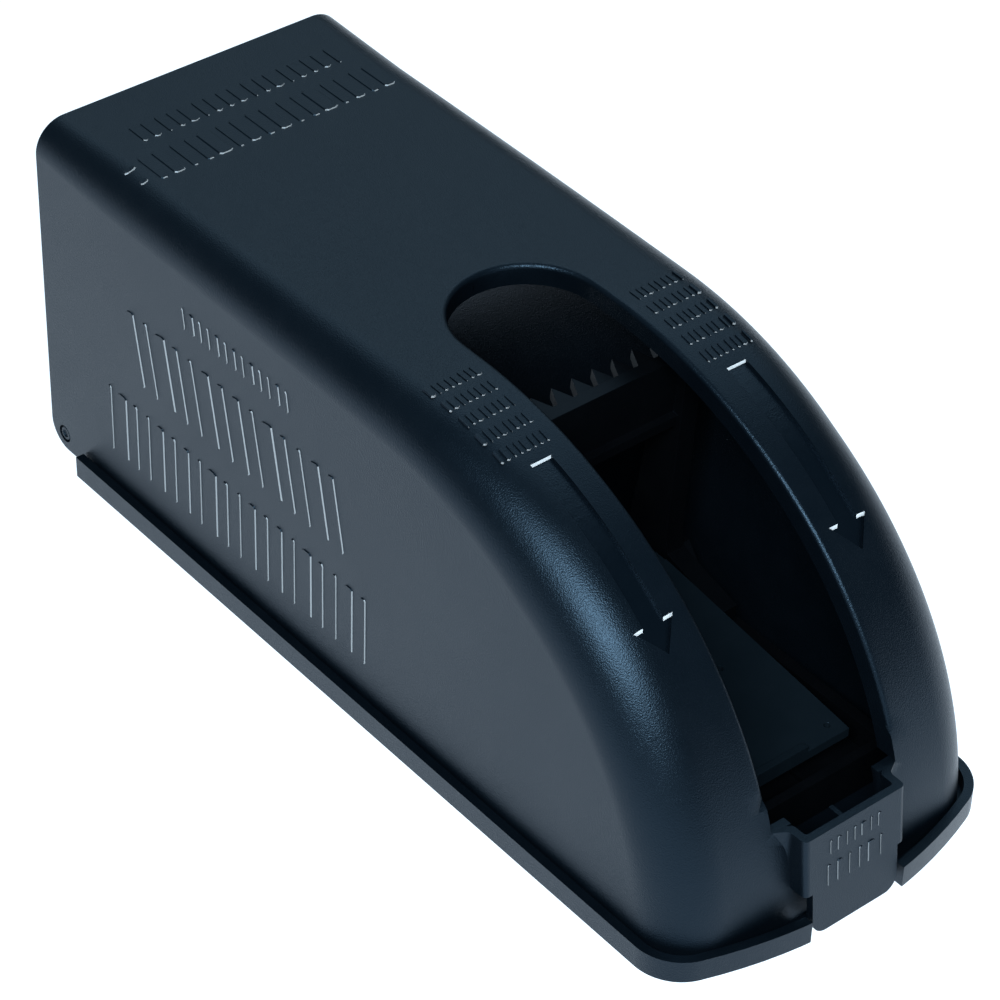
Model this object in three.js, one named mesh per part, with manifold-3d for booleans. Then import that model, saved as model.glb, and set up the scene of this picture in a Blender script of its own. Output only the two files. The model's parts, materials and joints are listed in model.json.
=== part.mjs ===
// Covered snap trap, rat size: a base tray, a hinged hood with a finger slot, and inside it a
// jawed snap trap, standing set. Millimetres, +Z up. The origin is under the middle of the base,
// +Y points to the entrance and -Y to the lift tab.

import * as THREE from 'three';
import { mergeVertices } from 'three/addons/utils/BufferGeometryUtils.js';
import Module from 'manifold-3d';

const wasm = await Module();
wasm.setup();

// ---- driving dimensions ------------------------------------------------------------------

const GAP = 0.3;                  // clearance between pieces that touch

const TRAY = { halfWidth: 49.5, frontY: -126.1, rearY: 110.7, floor: 2, rimHeight: 6.1, rimWall: 2.4,
  cornerRadius: 13, bowRadius: 113, notchHalfWidth: 14, notchDepth: 5.4 };

const HOOD = { halfWidth: 46.8, draft: 0.008, wall: 2.2, height: 97.2, footZ: 2.4, rearY: 125.25,
  noseY: -13.05, noseLength: 106.6, bowRadius: 400, filletRear: 10.3, filletNose: 15.05,
  filletPower: 3.1, rearCorner: 7 };
const SLOT = { halfWidth: 18.7, endY: -6.6, bottomZ: 28.1, lip: 2, lipDepth: 5.5 };
const ARROW = { x: 28.5, tailY: -45, barbY: -83.4, tipY: -89, shaft: 5.8, head: 11, depth: 0.6 };
const ENTRANCE = { halfWidth: 32, topZ: 66, corner: 8, sillZ: 14 };
const TAB = { halfWidth: 15.2, topZ: 28.1, bottomZ: 12.5, faceTopY: -121.6, slope: 0.11, wall: 2,
  flareY: -116.6, earY: -114.4, earHalfWidth: 19, backY: -110, tongueHalfWidth: 12.9,
  tongueBottomZ: 0.5, tongueCorner: 3, finHalf: 0.6 };

const COVER_HINGE = { y: 119.6, z: 6.9, pin: 2.1, pinLength: 13.1, lug: 4, lugInner: 35, lugOuter: 43 };

const PIVOT = { y: -18, z: 17, pin: 2 };          // jaw and lever axis
const PEDAL_PIVOT = { y: 8, z: 9, pin: 1.25 };
const FRAME = { outer: 37.3, inner: 34.3, frontY: -98, rearY: 56, bottomZ: 2.3, floor: 2.5, railZ: 12 };
const JAW = { inner: 28.5, outer: 33.7, hub: 8, reach: 68, plateFrom: 48, lean: 6.7 };
const LEVER = { halfWidth: 28, rearY: -27, tipY: -91.5, rearZ: 24, tipZ: 16, thick: 2.5 };
const SPRING = { from: 9, to: 22, radius: 5.8, wire: 0.9, turns: 6, legLength: 30,
  lowLeg: THREE.MathUtils.degToRad(10), highLeg: THREE.MathUtils.degToRad(16) };
const PEDAL = { halfWidth: 24, frontY: -4, rearY: 45, bottomZ: 11, topZ: 13 };
const PEDAL_SPRING = { y: 38, radius: 3, wireRadius: 0.35, turns: 4 };
const CUP = { y: 20, body: 8.2, flange: 11, bottomZ: 8.8, wall: 1.2 };
const SCREW = { x: 28, ys: [-72, 40], shank: 1.4, head: 3.2 };

const COLORS = { shell: 0x1d2229, trap: 0x17191d, steel: 0x9aa0a6, cup: 0x8c1f1c };

// ---- solids ------------------------------------------------------------------------------

// A closed three.js geometry as a manifold solid.
function solid(geometry) {
  const bare = geometry.clone();
  bare.deleteAttribute('normal');
  bare.deleteAttribute('uv');
  const merged = mergeVertices(bare, 1e-4);
  return new wasm.Manifold(new wasm.Mesh({
    numProp: 3,
    vertProperties: new Float32Array(merged.attributes.position.array),
    triVerts: new Uint32Array(merged.index.array),
  }));
}

function union(...pieces) {
  return pieces.reduce((whole, piece) => whole.add(piece));
}

function cut(body, ...tools) {
  return tools.reduce((rest, tool) => rest.subtract(tool), body);
}

function box(x0, x1, y0, y1, z0, z1) {
  const geometry = new THREE.BoxGeometry(x1 - x0, y1 - y0, z1 - z0);
  return solid(geometry.translate((x0 + x1) / 2, (y0 + y1) / 2, (z0 + z1) / 2));
}

function shapeFrom(points) {
  return new THREE.Shape(points.map(([a, b]) => new THREE.Vector2(a, b)));
}

// A plan outline in X and Y, raised from z0 to z1.
function prismZ(shape, z0, z1, curveSegments = 12) {
  const geometry = new THREE.ExtrudeGeometry(shape, { depth: z1 - z0, bevelEnabled: false, curveSegments });
  return solid(geometry.translate(0, 0, z0));
}

// A side outline in Y and Z, stretched from x0 to x1.
function prismX(shape, x0, x1, curveSegments = 12) {
  const geometry = new THREE.ExtrudeGeometry(shape, { depth: x1 - x0, bevelEnabled: false, curveSegments });
  const axes = new THREE.Matrix4().set(0, 0, 1, x0, 1, 0, 0, 0, 0, 1, 0, 0, 0, 0, 0, 1);
  return solid(geometry.applyMatrix4(axes));
}

// A front outline in X and Z, stretched from y0 to y1.
function prismY(shape, y0, y1, curveSegments = 12) {
  const geometry = new THREE.ExtrudeGeometry(shape, { depth: y1 - y0, bevelEnabled: false, curveSegments });
  const axes = new THREE.Matrix4().set(1, 0, 0, 0, 0, 0, -1, y1, 0, 1, 0, 0, 0, 0, 0, 1);
  return solid(geometry.applyMatrix4(axes));
}

// A round bar along X through (y, z).
function rodX(y, z, radius, x0, x1, sides = 24) {
  const geometry = new THREE.CylinderGeometry(radius, radius, x1 - x0, sides);
  return solid(geometry.rotateZ(Math.PI / 2).translate((x0 + x1) / 2, y, z));
}

function rodZ(x, y, radius, z0, z1, sides = 24) {
  const geometry = new THREE.CylinderGeometry(radius, radius, z1 - z0, sides);
  return solid(geometry.rotateX(Math.PI / 2).translate(x, y, (z0 + z1) / 2));
}

// A turned piece: profile points are [radius, distance along +Z], both ends on the axis.
function turned(profile, sides = 24) {
  const points = profile.map(([radius, along]) => new THREE.Vector2(radius, along));
  return solid(new THREE.LatheGeometry(points, sides).rotateX(Math.PI / 2));
}

// Turns a turned piece's axis to +X, or to -X, with its zero at x.
function alongX(piece, x, y, z, direction) {
  return piece.rotate([0, direction * 90, 0]).translate([x, y, z]);
}

// A wall between two outlines with the same number of points, one at z0 and one at z1.
function loftZ(low, z0, high, z1) {
  const count = low.length;
  const corners = [...low.map(([x, y]) => [x, y, z0]), ...high.map(([x, y]) => [x, y, z1])];
  const faces = THREE.ShapeUtils.triangulateShape(low.map(([x, y]) => new THREE.Vector2(x, y)), []);
  const triangles = [];
  for (const [a, b, c] of faces) {
    triangles.push([a, c, b], [a + count, b + count, c + count]);
  }
  for (let i = 0; i < count; i += 1) {
    const next = (i + 1) % count;
    triangles.push([i, next, next + count], [i, next + count, i + count]);
  }
  return fromTriangles(triangles.map((t) => t.map((k) => corners[k])));
}

function fromTriangles(triangles) {
  const geometry = new THREE.BufferGeometry();
  geometry.setAttribute('position', new THREE.Float32BufferAttribute(triangles.flat(2), 3));
  return solid(geometry);
}

// ---- the bowed, filleted section that the tray's front and the hood share ------------------

// Points [across, depth] of a half section: a strip bowed by bow * across^2, an arc of the given
// radius, and its tangent point on a side line that leans out by lean per unit of depth.
function halfSection(halfWidth, lean, radius, bow, stripSteps, arcSteps) {
  const leanLength = Math.hypot(1, lean);
  let touch = halfWidth - radius;
  let depth = 0;
  for (let pass = 0; pass < 30; pass += 1) {
    const slopeLength = Math.hypot(1, 2 * bow * touch);
    depth = bow * touch * touch + radius / slopeLength;
    const centre = halfWidth + lean * depth - radius * leanLength;
    touch = centre + (2 * bow * touch * radius) / slopeLength;
  }
  const slopeLength = Math.hypot(1, 2 * bow * touch);
  const centre = [touch - (2 * bow * touch * radius) / slopeLength, depth];
  const from = Math.atan2(-1, 2 * bow * touch);
  const to = Math.atan2(-lean, 1);
  const points = [];
  for (let i = 0; i < stripSteps; i += 1) {
    const across = (touch * i) / stripSteps;
    points.push([across, bow * across * across]);
  }
  for (let i = 0; i <= arcSteps; i += 1) {
    const angle = from + ((to - from) * i) / arcSteps;
    points.push([centre[0] + radius * Math.cos(angle), centre[1] + radius * Math.sin(angle)]);
  }
  return points;
}

// The whole section from left to right.
function fullSection(...sizes) {
  const right = halfSection(...sizes);
  const left = right.slice(1).reverse().map(([across, depth]) => [-across, depth]);
  return [...left, ...right];
}

// ---- hood --------------------------------------------------------------------------------

// The side profile from the rear edge to the foot, as points with outward normals. The share of
// the front bow and the fillet radius come along.
function hoodStations(inset, footZ) {
  const stations = [];
  const filletReach = HOOD.rearY - HOOD.noseY + HOOD.noseLength / 2;
  const radiusAt = (y) => {
    const along = THREE.MathUtils.clamp((HOOD.rearY - y) / filletReach, 0, 1);
    return THREE.MathUtils.lerp(HOOD.filletRear, HOOD.filletNose, along ** HOOD.filletPower);
  };
  for (const y of [HOOD.rearY - inset, 90, 55, 20]) {
    stations.push({ y, z: HOOD.height - inset, ny: 0, nz: 1, bow: 0, radius: radiusAt(y) - inset });
  }
  const steps = 16;
  const lastAngle = THREE.MathUtils.degToRad(85.5);
  for (let i = 0; i <= steps; i += 1) {
    const angle = (lastAngle * i) / steps;
    const length = Math.hypot(HOOD.height * Math.sin(angle), HOOD.noseLength * Math.cos(angle));
    const ny = (-HOOD.height * Math.sin(angle)) / length;
    const nz = (HOOD.noseLength * Math.cos(angle)) / length;
    const y = HOOD.noseY - HOOD.noseLength * Math.sin(angle);
    const z = HOOD.height * Math.cos(angle);
    const place = { y: y - ny * inset, z: z - nz * inset, ny, nz };
    stations.push({ ...place, bow: ny * ny, radius: radiusAt(y) - inset });
  }
  const footY = HOOD.noseY - HOOD.noseLength + inset;
  stations.push({ y: footY, z: footZ, ny: -1, nz: 0, bow: 1, radius: HOOD.filletNose - inset });
  return stations;
}

// The space inside the hood's outer surface moved in by inset, closed at the rear and at footZ.
function hoodSpace(inset, footZ = HOOD.footZ) {
  const halfWidthAt = (z) => HOOD.halfWidth - inset - HOOD.draft * z;
  const rows = hoodStations(inset, footZ).map((s) => {
    const bow = s.bow / (2 * HOOD.bowRadius);
    const section = fullSection(halfWidthAt(s.z), HOOD.draft * s.nz, s.radius, bow, 5, 7);
    return section.map(([across, depth]) => [across, s.y - s.ny * depth, s.z - s.nz * depth]);
  });
  const last = rows[0].length - 1;
  const foot = (point, side) => [side * halfWidthAt(footZ), point[1], footZ];
  const lefts = rows.map((row) => foot(row[0], -1));
  const rights = rows.map((row) => foot(row[last], 1));
  lefts[rows.length - 1] = rows[rows.length - 1][0];
  rights[rows.length - 1] = rows[rows.length - 1][last];

  const triangles = [];
  const same = (a, b) => a.every((value, k) => Math.abs(value - b[k]) < 1e-6);
  const face = (a, b, c) => {
    if (!same(a, b) && !same(b, c) && !same(c, a)) triangles.push([a, b, c]);
  };
  const quad = (a, b, c, d) => { face(a, b, c); face(a, c, d); };

  for (let i = 0; i + 1 < rows.length; i += 1) {
    for (let j = 0; j < last; j += 1) {
      quad(rows[i][j], rows[i + 1][j], rows[i + 1][j + 1], rows[i][j + 1]);
    }
    quad(rows[i + 1][0], rows[i][0], lefts[i], lefts[i + 1]);
    quad(rows[i][last], rows[i + 1][last], rights[i + 1], rights[i]);
    quad(lefts[i + 1], lefts[i], rights[i], rights[i + 1]);
  }
  const rear = rows[0];
  const front = rows[rows.length - 1];
  for (let j = 0; j < last / 2; j += 1) {
    quad(rear[j], rear[j + 1], rear[last - j - 1], rear[last - j]);
    quad(front[j + 1], front[j], front[last - j], front[last - j - 1]);
  }
  quad(rear[0], rear[last], rights[0], lefts[0]);
  return fromTriangles(triangles);
}

// A finger slot outline: straight sides and one round end.
function slotShape(halfWidth, frontY) {
  const shape = new THREE.Shape();
  shape.moveTo(-halfWidth, frontY);
  shape.lineTo(halfWidth, frontY);
  shape.lineTo(halfWidth, SLOT.endY);
  shape.absarc(0, SLOT.endY, halfWidth, 0, Math.PI);
  return shape;
}

function arrowShape(side) {
  const centre = side * ARROW.x;
  const half = ARROW.shaft / 2;
  const head = ARROW.head / 2;
  const points = [[-half, ARROW.tailY], [-half, ARROW.barbY], [-head, ARROW.barbY], [0, ARROW.tipY],
    [head, ARROW.barbY], [half, ARROW.barbY], [half, ARROW.tailY]];
  return shapeFrom(points.map(([x, y]) => [centre + x, y]));
}

const tabFaceY = (z) => TAB.faceTopY - TAB.slope * (TAB.topZ - z);

// The lift tab's plan at one height: a U with flared ears that meet the slot's edges.
function tabPlan(z) {
  const { halfWidth, earHalfWidth, earY, flareY, backY, wall } = TAB;
  const face = tabFaceY(z);
  const turn = 0.9;               // how far the inside of the U's bends stands back
  const outer = [[earHalfWidth, backY], [earHalfWidth, earY], [halfWidth, flareY], [halfWidth, face]];
  const inner = [[earHalfWidth - wall, backY], [earHalfWidth - wall, earY + turn],
    [halfWidth - wall, flareY + turn], [halfWidth - wall, face + wall]];
  const mirrored = (points) => points.map(([x, y]) => [-x, y]);
  return [...mirrored(outer), ...outer.slice().reverse(), ...inner, ...mirrored(inner).reverse()];
}

// The plate that hangs below the tab's channel into the tray's notch.
function tongue() {
  const { tongueHalfWidth: half, tongueCorner: corner, tongueBottomZ: low, bottomZ, wall } = TAB;
  const joinZ = bottomZ + 1;
  const outline = new THREE.Shape();
  outline.moveTo(-half, joinZ);
  outline.lineTo(-half, low + corner);
  outline.absarc(-half + corner, low + corner, corner, Math.PI, 1.5 * Math.PI);
  outline.absarc(half - corner, low + corner, corner, -0.5 * Math.PI, 0);
  outline.lineTo(half, joinZ);
  const [below, above] = [-2, joinZ + 5];
  const slab = shapeFrom([[tabFaceY(below), below], [tabFaceY(below) + wall, below],
    [tabFaceY(above) + wall, above], [tabFaceY(above), above]]);
  return prismY(outline, -130, -110, 4).intersect(prismX(slab, -20, 20));
}

function liftTab() {
  const { topZ, bottomZ, finHalf } = TAB;
  const channel = loftZ(tabPlan(bottomZ), bottomZ, tabPlan(topZ), topZ);
  const finShape = shapeFrom([[-112.2, topZ - 3.3], [tabFaceY(topZ) + 1, topZ - 3.3],
    [tabFaceY(bottomZ) + 1, bottomZ - 1.5], [-119.5, bottomZ - 4]]);
  return union(channel, tongue(), prismX(finShape, -finHalf, finHalf));
}

// What is cut from the rear: the entrance, room for the tray's hinge lugs, the rounded lower
// corner that lets the hood swing back, and the pin holes.
function rearCuts() {
  const { halfWidth, topZ, corner, sillZ } = ENTRANCE;
  const doorway = new THREE.Shape();
  doorway.moveTo(-halfWidth, 0);
  doorway.lineTo(halfWidth, 0);
  doorway.absarc(halfWidth - corner, topZ - corner, corner, 0, 0.5 * Math.PI);
  doorway.absarc(-halfWidth + corner, topZ - corner, corner, 0.5 * Math.PI, Math.PI);
  const innerHalf = HOOD.halfWidth - HOOD.wall - HOOD.draft * sillZ;
  const hingeRoom = box(-innerHalf, innerHalf, 120, 130, 0, sillZ);

  const { rearY, footZ, rearCorner: r } = HOOD;
  const swing = new THREE.Shape();
  swing.moveTo(rearY + 1, footZ - 1);
  swing.lineTo(rearY + 1, footZ + r);
  swing.lineTo(rearY, footZ + r);
  swing.absarc(rearY - r, footZ + r, r, 0, -0.5 * Math.PI, true);
  swing.lineTo(rearY - r, footZ - 1);
  const pinHoles = rodX(COVER_HINGE.y, COVER_HINGE.z, COVER_HINGE.pin + GAP, -50, 50);
  return [prismY(doorway, 120, 130, 6), hingeRoom, prismX(swing, -50, 50, 8), pinHoles];
}

function arrowCuts() {
  const band = cut(hoodSpace(-1), hoodSpace(ARROW.depth));
  return union(prismZ(arrowShape(-1), 40, 110), prismZ(arrowShape(1), 40, 110)).intersect(band);
}

function cover() {
  const belowFoot = -3;
  const aheadY = -130;
  const aboveZ = HOOD.height + 8;
  const { halfWidth, bottomZ, lip, lipDepth } = SLOT;
  const outside = hoodSpace(0);
  const ring = cut(prismZ(slotShape(halfWidth + lip, aheadY + 2), bottomZ, aboveZ),
    prismZ(slotShape(halfWidth, aheadY), bottomZ - 1, aboveZ + 1));
  const lipRing = ring.intersect(cut(outside, hoodSpace(lipDepth, belowFoot)));
  const slot = prismZ(slotShape(halfWidth, aheadY), bottomZ, aboveZ);
  const behindTab = TAB.halfWidth - TAB.wall;
  const pocket = box(-behindTab, behindTab, -119, -105, TAB.bottomZ - 2.5, TAB.topZ + 1);

  const shell = union(cut(outside, hoodSpace(HOOD.wall, belowFoot)), lipRing);
  const opened = cut(shell, slot, pocket, ...rearCuts(), arrowCuts());
  return union(opened, cut(liftTab(), hoodSpace(HOOD.wall, belowFoot)));
}

// ---- base tray ---------------------------------------------------------------------------

function trayOutline(inset) {
  const bow = 1 / (2 * TRAY.bowRadius);
  const front = fullSection(TRAY.halfWidth - inset, 0, TRAY.cornerRadius - inset, bow, 5, 8);
  const points = front.map(([x, depth]) => [x, TRAY.frontY + inset + depth]);
  const side = TRAY.halfWidth - inset;
  return shapeFrom([...points, [side, TRAY.rearY - inset], [-side, TRAY.rearY - inset]]);
}

function hingeLug(side) {
  const { y, z, lug, lugInner, lugOuter } = COVER_HINGE;
  const x0 = side > 0 ? lugInner : -lugOuter;
  const x1 = side > 0 ? lugOuter : -lugInner;
  const foot = shapeFrom([[y - 17, 0], [y - 1, 0], [y + 3.2, z - 2.4], [y + 1, z + lug - 0.2],
    [y - 6, z + lug - 0.4], [y - 13, TRAY.floor + 2]]);
  const lugBlock = union(prismX(foot, x0, x1), rodX(y, z, lug, x0, x1));
  return cut(lugBlock, rodX(y, z, COVER_HINGE.pin + GAP, x0 - 1, x1 + 1));
}

function baseTray() {
  const { halfWidth, frontY, rearY, floor, rimHeight, rimWall, notchHalfWidth, notchDepth } = TRAY;
  const plate = prismZ(trayOutline(0), 0, floor);
  const rim = cut(prismZ(trayOutline(0), 0, rimHeight), prismZ(trayOutline(rimWall), -1, rimHeight + 1));
  const inner = halfWidth - rimWall;
  const openRear = box(-inner, inner, rearY - 4, rearY + 1, floor, rimHeight + 1);
  const notch = box(-notchHalfWidth, notchHalfWidth, frontY - 1, frontY + notchDepth, -1, 8);
  const screwHoles = screwPlaces().map(([x, y]) => rodZ(x, y, SCREW.shank + GAP, -1, 4, 12));
  const dish = cut(union(plate, rim), openRear);
  return cut(union(dish, hingeLug(-1), hingeLug(1)), notch, ...screwHoles);
}

// A push-in pin: its head bears on the lug's inner side and its end shows in the hood's side wall.
function hingePin(side) {
  const { y, z, pin, pinLength, lugInner } = COVER_HINGE;
  const head = 1.2;
  const profile = [[0, 0], [3, 0], [3.4, 0.4], [3.4, head], [pin, head], [pin, pinLength], [0, pinLength]];
  return alongX(turned(profile), side * (lugInner - GAP - head), y, z, side);
}

// ---- inner trap --------------------------------------------------------------------------

function screwPlaces() {
  return SCREW.ys.flatMap((y) => [[-SCREW.x, y], [SCREW.x, y]]);
}

// Saw teeth along X in a row outline: [x, height] points over a base line.
function teethOutline(from, to, pitch, base, height) {
  const count = Math.round((to - from) / pitch);
  const points = [[from, base - 1], [from, base]];
  for (let i = 0; i < count; i += 1) {
    points.push([from + pitch * (i + 0.5), base + height], [from + pitch * (i + 1), base]);
  }
  points.push([to, base - 1]);
  return points;
}

function trapFrame() {
  const { outer, inner, frontY, rearY, bottomZ, floor, railZ } = FRAME;
  const bed = box(-outer, outer, frontY, rearY, bottomZ, bottomZ + floor);
  const cheekShape = shapeFrom([[frontY, bottomZ + 1], [rearY, bottomZ + 1], [rearY, railZ], [-2, railZ],
    [PIVOT.y + 7, PIVOT.z + 7], [PIVOT.y - 7, PIVOT.z + 7], [-34, railZ], [frontY, railZ]]);
  const rails = union(prismX(cheekShape, -outer, -inner), prismX(cheekShape, inner, outer));
  const frontWall = box(-outer, outer, frontY, frontY + 2.5, bottomZ + 1, 13);
  const lowerJaw = box(-outer, outer, 51, 54, bottomZ + 1, 13);
  const teeth = prismY(shapeFrom(teethOutline(-33, 33, 6, 13, 6)), 51, 54);
  const pivotHole = rodX(PIVOT.y, PIVOT.z, PIVOT.pin + GAP, -40, 40);
  const pedalHole = rodX(PEDAL_PIVOT.y, PEDAL_PIVOT.z, PEDAL_PIVOT.pin + GAP, -40, 40, 16);
  const screwHoles = screwPlaces().map(([x, y]) => rodZ(x, y, SCREW.shank + GAP, 0, 8, 12));
  return cut(union(bed, rails, frontWall, lowerJaw, teeth), pivotHole, pedalHole, ...screwHoles);
}

function frameScrew([x, y]) {
  const top = FRAME.bottomZ + FRAME.floor + GAP;
  const tip = 0.8;
  const { shank, head } = SCREW;
  const profile = [[0, tip], [shank, tip], [shank, top], [head, top], [head, top + 1.2],
    [head - 1, top + 2], [0, top + 2]];
  return turned(profile, 16).translate([x, y, 0]);
}

// The jaw's side arm in Y and Z about the pivot, before it leans: it rises to the biting edge and
// has a short horn forward that the lever sits between.
function jawArmShape() {
  const edge = JAW.reach;
  return shapeFrom([[-3.6, edge - 1], [-2.6, edge], [2.6, edge], [3.6, edge - 1], [6.5, 7], [6.5, 0],
    [3, -6.5], [-5, -6.5], [-28, -1], [-28, 6], [-8, 9], [-6.5, 14]]);
}

function upperJaw() {
  const leanBack = (piece) => piece.rotate([JAW.lean, 0, 0]).translate([0, PIVOT.y, PIVOT.z]);
  const arm = (side) => {
    const x0 = side > 0 ? JAW.inner : -JAW.outer;
    const x1 = side > 0 ? JAW.outer : -JAW.inner;
    return union(prismX(jawArmShape(), x0, x1), rodX(0, 0, JAW.hub, x0, x1));
  };
  const plate = box(-JAW.outer, JAW.outer, -1.6, 1.6, JAW.plateFrom, JAW.reach);
  const stiffener = box(-JAW.outer + 1, JAW.outer - 1, -3.4, 1, JAW.plateFrom, JAW.plateFrom + 3);
  const teethPlan = shapeFrom(teethOutline(-30, 30, 6, 1, 6.5));
  const teeth = prismZ(teethPlan, JAW.reach - 4, JAW.reach - 1);
  const bore = rodX(0, 0, PIVOT.pin + GAP, -40, 40);
  return leanBack(cut(union(arm(-1), arm(1), plate, stiffener, teeth), bore));
}

function settingLever() {
  const { halfWidth, rearY, tipY, rearZ, tipZ, thick } = LEVER;
  const under = (drop) => [rearZ - thick - drop, tipZ - thick - drop];
  const plateShape = shapeFrom([[rearY, under(0)[0]], [rearY, rearZ], [tipY, tipZ], [tipY, under(0)[1]]]);
  const flangeShape = shapeFrom([[rearY, under(3)[0]], [rearY, rearZ - 1], [tipY + 1, tipZ - 1],
    [tipY + 1, under(1.4)[1]]]);
  const neckShape = shapeFrom([[rearY - 3, rearZ - 0.5], [PIVOT.y, PIVOT.z + 7],
    [PIVOT.y + 5, PIVOT.z + 2], [PIVOT.y - 3, PIVOT.z - 5], [rearY - 3, rearZ - 5]]);
  const plate = prismX(plateShape, -halfWidth, halfWidth);
  const flange = 2.2;
  const flanges = union(prismX(flangeShape, -halfWidth, -halfWidth + flange),
    prismX(flangeShape, halfWidth - flange, halfWidth));
  const neckInner = halfWidth - 3.4;
  const necks = [[-7, 7], [-halfWidth, -neckInner], [neckInner, halfWidth]].map(([x0, x1]) =>
    union(prismX(neckShape, x0, x1), rodX(PIVOT.y, PIVOT.z, 7, x0, x1)));
  const nose = box(-5, 5, PIVOT.y + 4, PIVOT.y + 9.5, PIVOT.z - 2, PIVOT.z + 2);
  const gripLip = box(-15, 15, tipY, tipY + 1.8, tipZ - 1, tipZ + 1.6);
  const bore = rodX(PIVOT.y, PIVOT.z, PIVOT.pin + GAP, -40, 40);
  return cut(union(plate, flanges, ...necks, nose, gripLip), bore);
}

// A round wire through a list of points.
function wire(points, radius, steps) {
  const path = new THREE.CatmullRomCurve3(points);
  const section = new THREE.Shape().absarc(0, 0, radius, 0, 2 * Math.PI);
  const sweep = { steps, extrudePath: path, curveSegments: 6, bevelEnabled: false };
  return solid(new THREE.ExtrudeGeometry(section, sweep));
}

// A torsion spring on the pivot pin. One leg lies on the frame's bed, the other under the lever.
function jawSpring(side) {
  const { from, to, radius, turns, lowLeg, highLeg, legLength } = SPRING;
  const startAngle = Math.PI - lowLeg;
  const endAngle = -highLeg - 2 * Math.PI * turns;
  const onCoil = (angle, x) => new THREE.Vector3(side * x,
    PIVOT.y + radius * Math.sin(angle), PIVOT.z + radius * Math.cos(angle));
  const onLeg = (root, angle, length) => root.clone().add(
    new THREE.Vector3(0, -length * Math.cos(angle), -length * Math.sin(angle)));
  const lowRoot = onCoil(startAngle, from);
  const highRoot = onCoil(endAngle, to);
  const points = [1, 0.6, 0.2].map((share) => onLeg(lowRoot, lowLeg, share * legLength));
  const coilSteps = turns * 12;
  for (let i = 0; i <= coilSteps; i += 1) {
    const share = i / coilSteps;
    points.push(onCoil(startAngle + (endAngle - startAngle) * share, from + (to - from) * share));
  }
  points.push(...[0.2, 0.6, 1].map((share) => onLeg(highRoot, highLeg, share * legLength)));
  return wire(points, SPRING.wire, 84);
}

// The pedal's front end turns up as the sear: it stands just beyond the reach of the lever's nose.
function triggerPedal() {
  const { halfWidth, frontY, rearY, bottomZ, topZ } = PEDAL;
  const corner = 5;
  const outline = new THREE.Shape();
  outline.moveTo(-halfWidth, frontY);
  outline.lineTo(halfWidth, frontY);
  outline.absarc(halfWidth - corner, rearY - corner, corner, 0, 0.5 * Math.PI);
  outline.absarc(-halfWidth + corner, rearY - corner, corner, 0.5 * Math.PI, Math.PI);
  const plate = prismZ(outline, bottomZ, topZ, 5);
  const tongue = box(-6, 6, -7.6, frontY + 1, bottomZ, topZ);
  const sear = box(-6, 6, -7.6, -5.4, bottomZ, 18);
  const { y, z, pin } = PEDAL_PIVOT;
  const hubs = [-16, 16].map((x) => rodX(y, z, 3, x - 2.5, x + 2.5, 16));
  const bore = rodX(y, z, pin + GAP, -30, 30, 16);
  const cupHole = rodZ(0, CUP.y, CUP.body + GAP, bottomZ - 1, topZ + 1);
  return cut(union(plate, tongue, sear, ...hubs), bore, cupHole);
}

function baitCup() {
  const { body, flange, bottomZ, wall } = CUP;
  const rest = PEDAL.topZ + GAP;
  const inside = body - wall;
  const profile = [[0, bottomZ], [body - 1, bottomZ], [body, bottomZ + 1], [body, rest], [flange, rest],
    [flange, rest + 1.2], [inside, rest + 1.2], [inside - 0.6, bottomZ + wall], [0, bottomZ + wall]];
  return turned(profile).translate([0, CUP.y, 0]);
}

// A compression spring that holds the pedal up.
function triggerSpring() {
  const { y, radius, wireRadius, turns } = PEDAL_SPRING;
  const low = FRAME.bottomZ + FRAME.floor + GAP + wireRadius;
  const high = PEDAL.bottomZ - GAP - wireRadius;
  const steps = turns * 12;
  const points = [];
  for (let i = 0; i <= steps; i += 1) {
    const angle = (2 * Math.PI * i) / 12;
    const height = THREE.MathUtils.lerp(low, high, i / steps);
    points.push(new THREE.Vector3(radius * Math.cos(angle), y + radius * Math.sin(angle), height));
  }
  return wire(points, wireRadius, 48);
}

function pivotCap(side) {
  const bore = PIVOT.pin + GAP;
  const profile = [[0, 1.7], [bore, 1.7], [bore, 0], [4.2, 0], [4.2, 1.6], [3, 2.7], [0, 2.9]];
  return alongX(turned(profile), side * (FRAME.outer + GAP), PIVOT.y, PIVOT.z, side);
}

const pivotPin = () => rodX(PIVOT.y, PIVOT.z, PIVOT.pin, -39, 39);
const triggerPin = () => rodX(PEDAL_PIVOT.y, PEDAL_PIVOT.z, PEDAL_PIVOT.pin, -FRAME.outer, FRAME.outer, 16);

// ---- assembly ----------------------------------------------------------------------------

const materials = {
  shell: new THREE.MeshStandardMaterial({ color: COLORS.shell, roughness: 0.55, metalness: 0 }),
  trap: new THREE.MeshStandardMaterial({ color: COLORS.trap, roughness: 0.6, metalness: 0 }),
  steel: new THREE.MeshStandardMaterial({ color: COLORS.steel, roughness: 0.3, metalness: 1 }),
  cup: new THREE.MeshStandardMaterial({ color: COLORS.cup, roughness: 0.5, metalness: 0 }),
};

const trap = new THREE.Group();

function place(name, piece, material) {
  const { vertProperties, triVerts } = piece.getMesh();
  const geometry = new THREE.BufferGeometry();
  geometry.setAttribute('position', new THREE.BufferAttribute(new Float32Array(vertProperties), 3));
  geometry.setIndex(new THREE.BufferAttribute(new Uint32Array(triVerts), 1));
  geometry.computeVertexNormals();
  const mesh = new THREE.Mesh(geometry, material);
  mesh.name = name;
  trap.add(mesh);
}

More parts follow.
